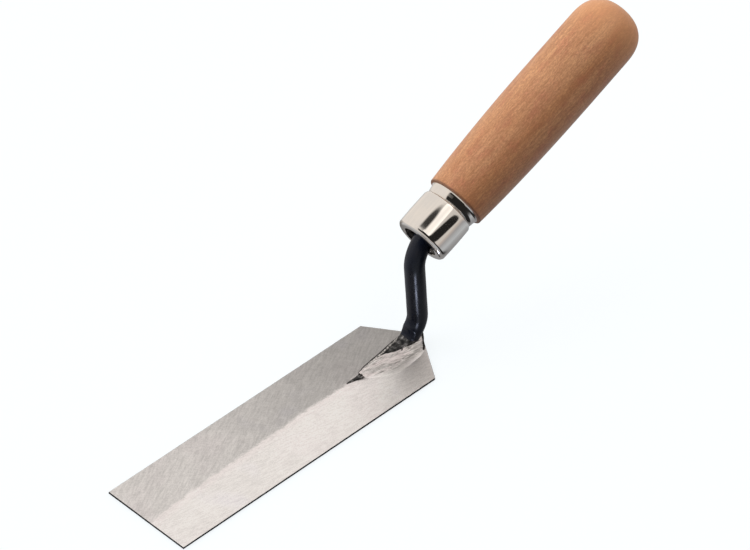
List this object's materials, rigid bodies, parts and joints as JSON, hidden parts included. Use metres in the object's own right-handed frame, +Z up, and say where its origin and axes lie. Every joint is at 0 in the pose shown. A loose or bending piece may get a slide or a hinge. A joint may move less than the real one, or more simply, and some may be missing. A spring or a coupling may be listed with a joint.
{
  "type": "margin trowel",
  "caption": "Masonry margin trowel: long flat steel blade with a pointed heel, cranked round shank welded along its ridge, plated ferrule and turned wooden handle.",
  "frame": {"origin": "middle of the blade's flat underside, half way between its tip edge and its heel corners", "axes": "+X along the blade from tip to heel and on towards the handle's butt, +Y across the blade to the holder's left, +Z up, out of the blade's upper face; the blade's underside is Z = 0"},
  "size_m": [0.2397, 0.038, 0.108],
  "materials": {
    "blade_steel": "belt-ground, satin",
    "black_enamel": "gloss black",
    "ground_weld": "coarsely ground",
    "raw_weld": "scaled, partly ground",
    "nickel_plate": "bright, polished",
    "turned_wood": "satin lacquer"
  },
  "bodies": {
    "root": {"blade": "blade_steel", "shank": "black_enamel", "weld_right": "ground_weld", "weld_left": "raw_weld", "weld_heel": "raw_weld", "ferrule": "nickel_plate", "handle": "turned_wood"}
  },
  "joints": []
}
